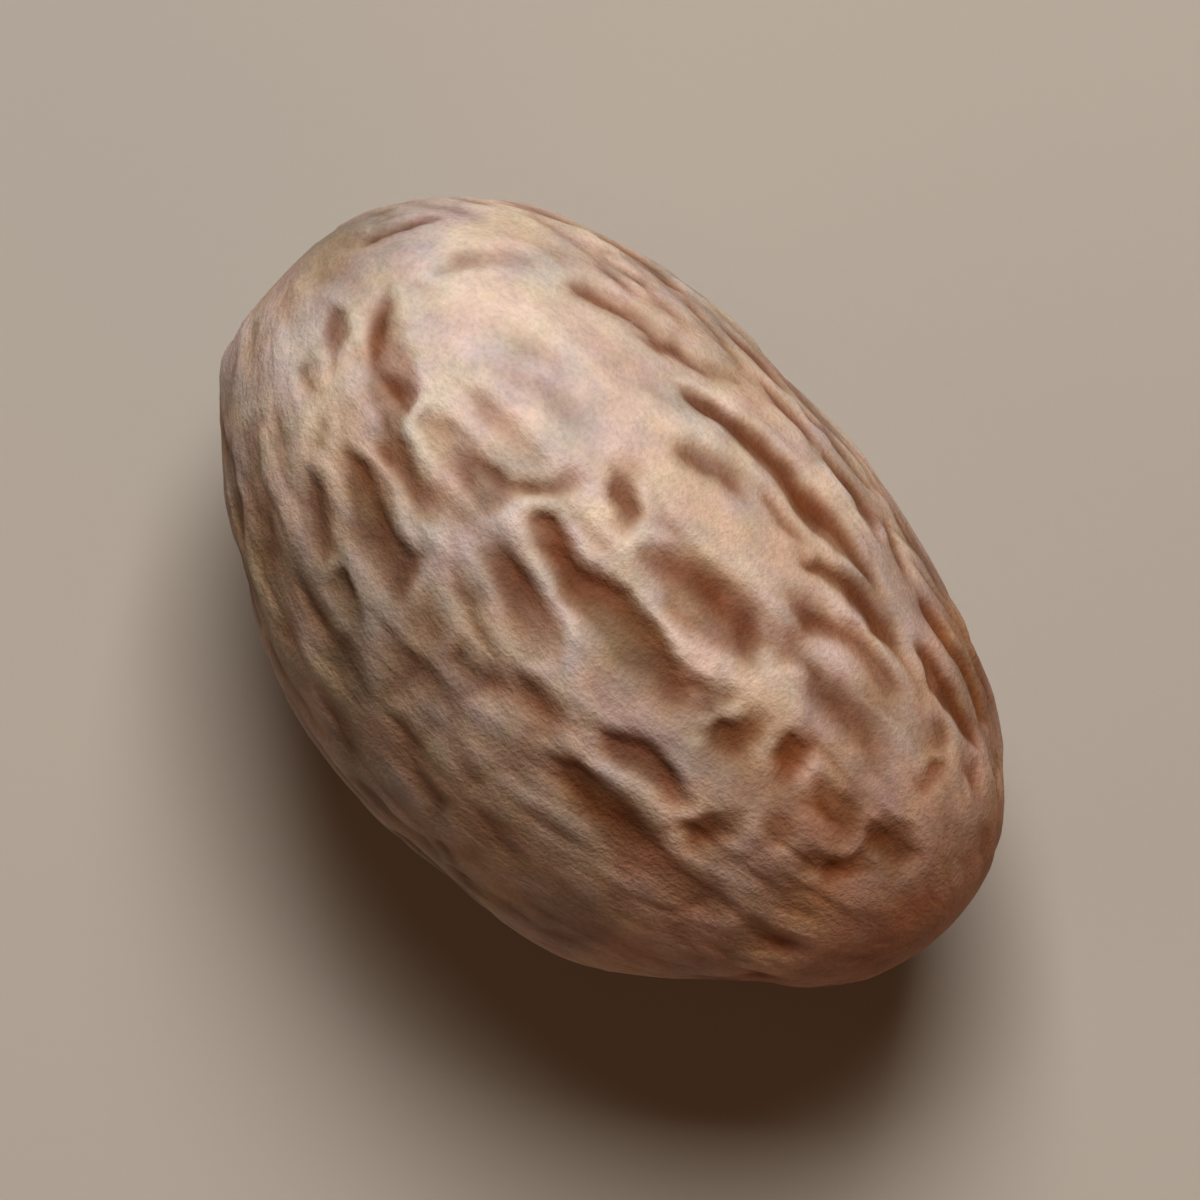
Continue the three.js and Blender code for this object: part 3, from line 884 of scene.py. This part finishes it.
@dataclass(frozen=True)
class DriedSeedCoat:
    """The skin of a dried, shelled nutmeg: bare, slightly oily wood-like tissue.

    It looks matt and brown, rubbed pale on its ridges, with fine streaks and pores that break up its gloss.
    Its colours also paint light: painted shade in the hollows, the pits and on the darker sides, and painted
    light on the crests, the top patch and the -X end.
    """

    name: str = "dried_nutmeg_seed_coat"
    plain: str = "#bba698"
    ridge: str = "#dcd6d6"
    floor: str = "#845f43"
    pit_dirt_and_shade: str = "#6b371b"
    bloom_and_shade: str = "#7f7361"
    stain_and_shade: str = "#8e5f34"
    warm: str = "#fffaf2"
    cool: str = "#e9ebf2"
    rosy: str = "#fffafd"
    olive: str = "#fafdf6"
    hollow_ramp: Ramp = (0.15, 1.25, 0.0, 1.0)
    crest_ramp: Ramp = (0.1, -2.0, 0.0, 0.75)
    pit_dirt_and_shade_ramp: Ramp = (0.15, 1.3, 0.0, 0.5)
    streak_ramp: Ramp = (0.3, 0.7, 0.95, 1.04)
    blotch_ramp: Ramp = (0.3, 0.7, 0.9, 1.09)
    pore_ramp: Ramp = (0.3, 0.6, 0.9, 1.02)
    cloud_ramp: Ramp = (0.38, 0.62, 0.0, 1.0)
    roughness_ramp: Ramp = (0.0, 1.0, 0.6, 0.74)
    mottle_share: float = 0.5
    streak_share: float = 0.6
    bump_strength: float = 0.5
    bump_depth: float = 0.09
    ior: float = 1.45

    def build(self) -> bpy.types.Material:
        """Mix the colours by the mesh's own traits, and roughen the skin with streaks and specks.

        Returns:
            The material.
        """
        material = bpy.data.materials.new(self.name)
        material.use_nodes = True
        tree = material.node_tree
        trait = {}
        for kind in Trait:
            node = add_node(tree, "ShaderNodeAttribute", attribute_name=kind.value, attribute_type="GEOMETRY")
            trait[kind] = node.outputs["Vector" if kind is Trait.GRAIN else "Fac"]
        place = add_node(tree, "ShaderNodeTexCoord").outputs["Object"]
        pattern = {}
        for kind in Pattern:
            size, octaves, roughness = kind.value
            # The grain is in millimetres, and all else in metres.
            vector, unit_size = (trait[Trait.GRAIN], 1.0) if kind is Pattern.STREAKS else (place, MM)
            scale = 1.0 / (size * unit_size)
            inputs = {"Vector": vector, "Scale": scale, "Detail": octaves, "Roughness": roughness}
            pattern[kind] = add_node(tree, "ShaderNodeTexNoise", inputs).outputs["Fac"]
        sums = []
        for first, factor, second in (
            (pattern[Pattern.MOTTLE], self.mottle_share, trait[Trait.FLOOR]),
            (pattern[Pattern.STREAKS], self.streak_share, pattern[Pattern.SPECKS]),
        ):
            inputs = {0: first, 1: factor, 2: second}
            sums.append(add_node(tree, "ShaderNodeMath", inputs, operation="MULTIPLY_ADD").outputs[0])
        depth, relief = sums
        ramps = []
        for value, ramp in (
            (depth, self.hollow_ramp),
            (trait[Trait.CAVITY], self.crest_ramp),
            (trait[Trait.CAVITY], self.pit_dirt_and_shade_ramp),
            (pattern[Pattern.STREAKS], self.streak_ramp),
            (pattern[Pattern.BLOTCHES], self.blotch_ramp),
            (pattern[Pattern.SPECKS], self.pore_ramp),
            (pattern[Pattern.WARMTH], self.cloud_ramp),
            (pattern[Pattern.BLUSH], self.cloud_ramp),
        ):
            inputs = {"Value": value} | dict(zip(RAMP_ENDS, ramp))
            ramps.append(add_node(tree, "ShaderNodeMapRange", inputs).outputs[0])
        hollow, crest, pit_dirt_and_shade, *shades, warmth, blush = ramps
        # Each colour covers those before it by its share. Some carry painted light: the floor and pit colours
        # are painted shade in the hollows and creases as well as dirt, and the pale, bloom and stain colours
        # are partly painted light and shade.
        colour: Any = linear(self.plain)
        for share, cover in (
            # paler patch and -X end: rubbed skin, and painted light where the key falls
            (trait[Trait.PALE_AND_PAINTED_LIGHT], self.ridge),
            # the hollows' floors: browner dirt, and painted shade
            (hollow, self.floor),
            # paler crests: rubbed skin, and partly a painted highlight
            (crest, self.ridge),
            # dark pits: painted shade in the creases, and some dirt
            (pit_dirt_and_shade, self.pit_dirt_and_shade),
            # grey bloom, and painted shade on the -Y side
            (trait[Trait.BLOOM], self.bloom_and_shade),
            # reddish stain, and painted shade at the chalaza end
            (trait[Trait.STAIN_AND_SHADE], self.stain_and_shade),
        ):
            inputs = {FACTOR: share, COLOUR_A: colour, COLOUR_B: linear(cover)}
            colour = add_node(tree, "ShaderNodeMix", inputs, data_type="RGBA").outputs[COLOUR_OUT]
        # Each shade and cloud multiplies what is under it.
        for share, first, second in ((warmth, self.warm, self.cool), (blush, self.rosy, self.olive)):
            inputs = {FACTOR: share, COLOUR_A: linear(first), COLOUR_B: linear(second)}
            shades.append(add_node(tree, "ShaderNodeMix", inputs, data_type="RGBA").outputs[COLOUR_OUT])
        for shade in shades:
            inputs = {FACTOR: 1.0, COLOUR_A: colour, COLOUR_B: shade}
            node = add_node(tree, "ShaderNodeMix", inputs, data_type="RGBA", blend_type="MULTIPLY")
            colour = node.outputs[COLOUR_OUT]
        inputs = {"Value": hollow} | dict(zip(RAMP_ENDS, self.roughness_ramp))
        roughness = add_node(tree, "ShaderNodeMapRange", inputs).outputs[0]
        inputs = {"Height": relief, "Strength": self.bump_strength, "Distance": self.bump_depth * MM}
        bump = add_node(tree, "ShaderNodeBump", inputs).outputs[0]
        shader = tree.nodes["Principled BSDF"]
        shader.inputs["IOR"].default_value = self.ior
        for name, value in (("Base Color", colour), ("Roughness", roughness), ("Normal", bump)):
            tree.links.new(value, shader.inputs[name])
        return material


# ---- The nutmeg ----


@dataclass(frozen=True)
class TintedArea:
    """A blurred area of the skin: its middle, its reach each way and the share of the tint in its middle."""

    middle: tuple[float, float, float]
    reach: tuple[float, float, float]
    share: float


TINTED_AREAS: dict[Trait, tuple[TintedArea, ...]] = {
    # The smooth patch and the bulge beside the hilum are painted pale, and a faint area on top: partly rubbed
    # skin, and partly painted light where the key falls on the top and the -X end.
    Trait.PALE_AND_PAINTED_LIGHT: (
        TintedArea((-9.6, 3.2, 5.5), (7.6, 4.6, 7.0), 0.85),
        TintedArea((3.2, 2.0, 8.0), (6.0, 1.8, 4.0), 0.25),
        TintedArea((-11.6, -2.2, 4.5), (3.6, 2.6, 5.0), 0.9),
    ),
    # A greyish bloom is left round the hilum end and on the top, and on the steep -Y side the grey is painted
    # shade as well as bloom.
    Trait.BLOOM: (
        TintedArea((-4.4, -5.5, 4.0), (7.8, 3.4, 6.0), 0.85),
        TintedArea((-13.4, 1.8, 2.5), (2.2, 1.7, 4.0), 0.85),
        TintedArea((1.2, -0.8, 8.3), (2.0, 1.1, 3.0), 0.8),
        TintedArea((6.0, -1.0, 8.0), (3.4, 1.0, 3.0), 0.5),
    ),
    # The chalaza end and the +Y side near it are stained reddish and darkened: partly a real stain, and
    # partly painted shade.
    Trait.STAIN_AND_SHADE: (
        TintedArea((14.0, 0.0, 0.0), (6.4, 7.5, 11.0), 0.8),
        TintedArea((10.8, 7.6, 2.0), (5.0, 2.5, 6.0), 1.0),
        TintedArea((9.2, 0.4, 6.6), (3.2, 1.8, 3.0), 0.9),
        TintedArea((5.2, -4.4, 6.5), (1.8, 0.9, 3.0), 0.5),
    ),
}


@dataclass
class Kernel:
    """The nutmeg itself: the egg with its hollows, its two scars and its raphe.

    Each cavity is how often the grid is blurred for it, and the depth below the mean that counts as 1.
    """

    egg: Egg
    hilum: Scar = Scar(along=-0.94, degrees=-70.0, radius=2.1, sunk=0.28, rim=0.12, rays=9, ray_depth=0.14)
    chalaza: Scar = Scar(along=0.95, degrees=-70.0, radius=1.0, sunk=0.45, rim=0.08, rays=6, ray_depth=0.06)
    raphe: Raphe = Raphe()
    skin: DriedSeedCoat = DriedSeedCoat()
    name: str = "nutmeg_kernel"
    flat_depth: float = 0.2
    flat_reach: float = 1.1
    around: int = 396
    end_to_end: int = 250
    streak_stretch: float = 0.2
    least_radius: float = 0.01
    spot_edge: Range = (1.5, 3.0)
    tip_edge: Range = (0.8, 3.4)
    fine_stretch: float = 2.2
    crease_depth: float = 0.065
    crease_sharpness: int = 3
    creases: Unevenness = Unevenness(1.0, 0.8, 21)
    fine_creases: Unevenness = Unevenness(0.02, 0.32, 22)
    waves: Unevenness = Unevenness(0.13, 1.15, 23)
    calm_share: float = 0.3
    depth_share: float = 0.55
    depth_blurs: int = 30
    full_depth: float = 0.2
    cavity_share: float = 0.45
    wide_cavity: tuple[int, float] = (120, 0.155)
    near_cavity: tuple[int, float] = (50, 0.09)
    tint_variety: Unevenness = Unevenness(0.3, 1.8, 41)

    def grain_place(self, points: Array) -> Array:
        """Unroll the grain: y and z off the bent middle line, and a share of the way along it.

        Both are times the root of half the egg's width over their distance off the line, so that the pattern
        narrows less towards the tips.

        Args:
            points: places on the egg.

        Returns:
            Vectors in which a pattern stretched along Z runs with the grain, without a seam.
        """
        y = points[..., 1:2] - self.egg.middle_y(points[..., 0:1] * 2.0 / self.egg.length)
        z = points[..., 2:3]
        widened = np.sqrt(self.egg.width / 2.0 / np.maximum(np.hypot(y, z), self.least_radius))
        return np.concatenate([y * widened, z * widened, self.streak_stretch * points[..., 0:1]], -1)

    def stand_out(self, points: Array, field_of_hollows: HollowField) -> tuple[Array, Array]:
        """Add up what stands out from the egg and what is sunk in it.

        A crease is 1 less the size of a noise, to the power of its sharpness. Creases and waves fade on the
        calm areas and at the tips.

        Args:
            points: places on the egg.
            field_of_hollows: its hollows.

        Returns:
            How far the surface stands out, and the depth of the hollows and the raphe together.
        """
        hilum = self.hilum.centre(self.egg)
        chalaza = self.chalaza.centre(self.egg)
        off_spots = smooth_step(nearest_distance(points, field_of_hollows.bare_spots()), *self.spot_edge)
        off_tips = smooth_step(nearest_distance(points, self.egg.tips()), *self.tip_edge)
        off_floor = smooth_step(points[..., 2] + self.egg.height / 2.0, self.flat_depth, self.flat_reach)
        hollows = off_floor * off_spots * field_of_hollows.sunk(points)
        raphe = off_floor * off_spots * self.raphe.depth_at(hilum, chalaza, points)
        scars = self.hilum.depth(self.egg, points) + self.chalaza.depth(self.egg, points)
        grain = self.grain_place(points) * np.array((1.0, 1.0, self.fine_stretch))
        crease = self.crease_depth * (1.0 - np.abs(self.creases.at(grain))) ** self.crease_sharpness
        relief = crease + self.fine_creases.at(grain) + self.waves.at(grain)
        calm = self.calm_share + (1.0 - self.calm_share) * field_of_hollows.calmness(points)
        fine = off_floor * off_tips * relief * calm
        return self.egg.unevenness(points) - hollows - raphe - scars - fine, hollows + raphe

    def cavity(self, height: Array, blurs: int, full: float) -> Array:
        """Compare each point with the mean of the points around it, by repeated blurring of the grid.

        Args:
            height: how far each grid point stands out, rings by points round them.
            blurs: how often the grid is blurred, which sets how wide a hollow counts.
            full: depth below the mean that counts as 1, in millimetres.

        Returns:
            About 1 in a hollow, 0 on a plain slope and -1 on a ridge.
        """
        return (self.blurred(height, blurs) - height) / full

    def blurred(self, values: Array, times: int) -> Array:
        """Replace each grid value by the mean of its four neighbours, so many times over.

        Args:
            values: one for each grid point.
            times: how often.

        Returns:
            The blurred values.
        """
        for _ in range(times):
            rings = np.pad(values, ((1, 1), (0, 0)), mode="edge")
            values = (rings[:-2] + rings[2:] + np.roll(values, 1, 1) + np.roll(values, -1, 1)) / 4.0
        return values

    def build(self) -> bpy.types.Object:
        """Make the mesh as one grid of rings closed at both ends, put it in the solid's box and dress it.

        Returns:
            The nutmeg's object.
        """
        hollows = HollowField(self.egg, self.hilum.centre(self.egg), self.chalaza.centre(self.egg))
        hollows.add_leading()
        hollows.add_by_rule(MAIN_CROWD)
        hollows.add_by_rule(GAP_FILLERS)
        from_end = np.linspace(0.0, math.pi, self.end_to_end + 1)[1:-1]
        along, angle = np.meshgrid(
            np.cos(from_end),
            np.linspace(0.0, 2.0 * math.pi, self.around, endpoint=False),
            indexing="ij",
        )
        egg_points = self.egg.point(along, angle)
        height, depth = self.stand_out(egg_points, hollows)
        rings = egg_points + self.egg.normal(along, angle) * height[..., None]
        ends = np.stack([rings[0].mean(axis=0), rings[-1].mean(axis=0)])
        points = self.in_solid(np.concatenate([rings.reshape(-1, 3), ends]))
        # The floor trait darkens the hollows: their browner dirt, and painted shade.
        sunk = self.depth_share * self.blurred(depth, self.depth_blurs) / self.full_depth
        traits = {
            Trait.FLOOR: sunk + self.cavity_share * self.cavity(height, *self.wide_cavity),
            # The cavity pales the crests and darkens the pits, partly as painted highlight and painted shade.
            Trait.CAVITY: self.cavity(height, *self.near_cavity),
            Trait.GRAIN: self.grain_place(egg_points),
        }
        traits |= {kind: self.tinted(kind, egg_points) for kind in TINTED_AREAS}
        mesh = bpy.data.meshes.new(self.name)
        mesh.from_pydata(points.tolist(), [], self.faces())
        mesh.shade_smooth()
        for kind, values in traits.items():
            self.store(mesh, kind, values)
        mesh.materials.append(self.skin.build())
        return add_object(self.name, mesh)

    def tinted(self, kind: Trait, points: Array) -> Array:
        """Share of one tint: that of its strongest area, uneven by smooth noise.

        Args:
            kind: the tint.
            points: places on the egg.

        Returns:
            Its share at each place.
        """
        shares = []
        for area in TINTED_AREAS[kind]:
            off = (points - np.array(area.middle)) / np.array(area.reach)
            shares.append(area.share * bell(np.linalg.norm(off, axis=-1), 1.0))
        uneven = 1.0 - self.tint_variety.amount + self.tint_variety.at(points)
        return np.max(shares, axis=0) * uneven

    def in_solid(self, points: Array) -> Array:
        """Rest the points on the flat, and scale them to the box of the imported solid.

        Args:
            points: places in millimetres, in the egg's frame.

        Returns:
            The same places in metres, in the part's frame.
        """
        low, high = (np.array(corner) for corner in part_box(NODE))
        placed = points.copy()
        floor = placed[:, 2].min() + self.flat_depth
        placed[:, 2] = np.maximum(placed[:, 2], floor)
        least = placed.min(axis=0)
        span = placed.max(axis=0) - least
        return low + (placed - least) / span * (high - low)

    def faces(self) -> list[list[int]]:
        """Number the faces: four corners between two rings, three at each end.

        Returns:
            The corners of each face, in the order that points it outwards.
        """
        rings = self.end_to_end - 1
        index = np.arange(rings * self.around).reshape(rings, self.around)
        after = np.roll(index, -1, axis=1)
        first_end, last_end = rings * self.around, rings * self.around + 1
        front = np.stack([np.full(self.around, first_end), index[0], after[0]], axis=-1)
        back = np.stack([np.full(self.around, last_end), after[-1], index[-1]], axis=-1)
        return ring_quads(index).tolist() + front.tolist() + back.tolist()

    def store(self, mesh: bpy.types.Mesh, kind: Trait, values: Array) -> None:
        """Write one trait into the mesh, with the mean of the last ring at each end.

        Args:
            mesh: the nutmeg's mesh.
            kind: the trait.
            values: its value at each grid point, or a vector there.
        """
        is_vector = values.ndim == 3
        flat = values.reshape(-1, 3) if is_vector else values.reshape(-1)
        ends = np.stack([values[0].mean(axis=0), values[-1].mean(axis=0)])
        attribute = mesh.attributes.new(kind.value, "FLOAT_VECTOR" if is_vector else "FLOAT", "POINT")
        both = np.concatenate([flat, ends]).astype(np.float32)
        attribute.data.foreach_set("vector" if is_vector else "value", both.ravel())


# ---- The stage ----


@dataclass(frozen=True)
class PaleCard:
    """The floor's finish: smooth matt card. It looks even and soft, with no sheen."""

    name: str = "matt_white_card"
    colour: str = "#aeaba6"
    roughness: float = 0.9
    tooth_size: float = 0.4
    tooth_octaves: float = 3.0
    tooth_strength: float = 0.15
    tooth_depth: float = 0.02

    def build(self) -> bpy.types.Material:
        """Make the plain finish, with a faint tooth of the pressed fibres.

        Returns:
            The material.
        """
        material = bpy.data.materials.new(self.name)
        material.use_nodes = True
        tree = material.node_tree
        shader = tree.nodes["Principled BSDF"]
        shader.inputs["Base Color"].default_value = linear(self.colour)
        shader.inputs["Roughness"].default_value = self.roughness
        place = add_node(tree, "ShaderNodeTexCoord").outputs["Object"]
        inputs = {"Vector": place, "Scale": 1.0 / (self.tooth_size * MM), "Detail": self.tooth_octaves}
        tooth = add_node(tree, "ShaderNodeTexNoise", inputs).outputs["Fac"]
        inputs = {"Height": tooth, "Strength": self.tooth_strength, "Distance": self.tooth_depth * MM}
        bump = add_node(tree, "ShaderNodeBump", inputs)
        tree.links.new(bump.outputs[0], shader.inputs["Normal"])
        return material


@dataclass(frozen=True)
class Lamp:
    """A square soft light, in metres and watts, with its place from the nutmeg's middle.

    Side is to the right in the camera's picture, top is towards its top, and up is overhead.
    """

    name: str
    side: float
    top: float
    up: float
    size: float
    watts: float
    colour: str


@dataclass
class Studio:
    """Floor, lights and camera, all placed from the nutmeg's box in metres."""

    low: Vector
    high: Vector
    lamps: tuple[Lamp, ...] = (
        Lamp("key", side=0.03, top=0.37, up=0.5, size=0.32, watts=3.65, colour="#fffaf4"),
        Lamp("left fill", side=-0.4, top=0.0, up=0.2, size=0.3, watts=0.18, colour="#ffdcc0"),
        Lamp("bounce", side=0.3, top=-0.3, up=0.15, size=0.3, watts=0.34, colour="#ffb98a"),
    )
    room_colour: str = "#ffdcbd"
    room_strength: float = 0.048
    inner_ring: float = 0.02
    rings: int = 8
    spokes: int = 48
    near_clip: float = 0.01
    image_turn: float = 46.7
    frame_width: float = 0.0365
    camera_distance: float = 0.32
    sensor: float = 36.0
    framing_lift: float = 0.00045
    card: PaleCard = PaleCard()

    def middle(self) -> Vector:
        """Middle of the nutmeg's box."""
        return (self.low + self.high) / 2.0

    def add_floor(self) -> bpy.types.Object:
        """Lay a round floor: rings of points, each of twice the radius of the one inside it.

        Returns:
            The floor's object, marked as stage.
        """
        radii = self.inner_ring * 2.0 ** np.arange(self.rings)
        turns = np.linspace(0.0, 2.0 * math.pi, self.spokes, endpoint=False)
        x = np.outer(radii, np.cos(turns))
        y = np.outer(radii, np.sin(turns))
        points = np.stack([x, y, np.full_like(x, self.low.z)], axis=-1).reshape(-1, 3)
        index = np.arange(points.shape[0]).reshape(radii.size, turns.size)
        mesh = bpy.data.meshes.new("floor")
        mesh.from_pydata(points.tolist(), [], ring_quads(index).tolist() + [index[0].tolist()])
        mesh.materials.append(self.card.build())
        floor = add_object("floor", mesh)
        floor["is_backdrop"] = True
        return floor

    def towards_top(self) -> Vector:
        """Direction on the floor that is up in the camera's picture."""
        turn = math.radians(self.image_turn)
        return Vector((-math.sin(turn), math.cos(turn), 0.0))

    def add_camera(self) -> None:
        """Hang the camera straight above the nutmeg, turned so that its length slopes down to the right."""
        data = bpy.data.cameras.new("camera")
        data.sensor_width = self.sensor
        data.lens = self.sensor * self.camera_distance / self.frame_width
        data.clip_start = self.near_clip
        camera = add_object("camera", data)
        aim = self.middle() + self.towards_top() * self.framing_lift
        camera.location = aim + Vector((0.0, 0.0, self.camera_distance))
        camera.rotation_euler = (0.0, 0.0, math.radians(self.image_turn))
        bpy.context.scene.camera = camera

    def add_light(self, lamp: Lamp) -> None:
        """Hang a square soft light and aim it at the nutmeg.

        Args:
            lamp: the light.
        """
        data = bpy.data.lights.new(lamp.name, "AREA")
        data.size = lamp.size
        data.energy = lamp.watts
        data.color = linear(lamp.colour)[:3]
        light = add_object(lamp.name, data)
        top_way = self.towards_top()
        right_way = Vector((top_way.y, -top_way.x, 0.0))
        offset = right_way * lamp.side + top_way * lamp.top + Vector((0.0, 0.0, lamp.up))
        light.location = self.middle() + offset
        light.rotation_euler = offset.to_track_quat("Z", "Y").to_euler()

    def add_lights(self) -> None:
        """Hang a large key, a weak fill and a warm bounce, and make the room dim and warm."""
        for lamp in self.lamps:
            self.add_light(lamp)
        world = bpy.data.worlds.new("room")
        world.use_nodes = True
        background = world.node_tree.nodes["Background"]
        background.inputs["Color"].default_value = linear(self.room_colour)
        background.inputs["Strength"].default_value = self.room_strength
        bpy.context.scene.world = world
        bpy.context.scene.view_settings.view_transform = "Standard"
        bpy.context.scene.view_settings.look = "High Contrast"


def main() -> None:
    """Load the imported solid, build the nutmeg and its stage in order, and report each piece."""
    logging.basicConfig(level=logging.INFO, format="%(name)s: %(message)s")
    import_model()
    solid_low, solid_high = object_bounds()
    length, width, height = (solid_high - solid_low) / MM
    kernel = Kernel(Egg(length, width, height)).build()
    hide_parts(NODE)
    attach(kernel, BODY)
    log.info("%s: %d faces", kernel.name, len(kernel.data.polygons))
    studio = Studio(solid_low, solid_high)
    floor = studio.add_floor()
    log.info("%s: %d faces", floor.name, len(floor.data.polygons))
    studio.add_camera()
    studio.add_lights()


if __name__ == "__main__":
    main()
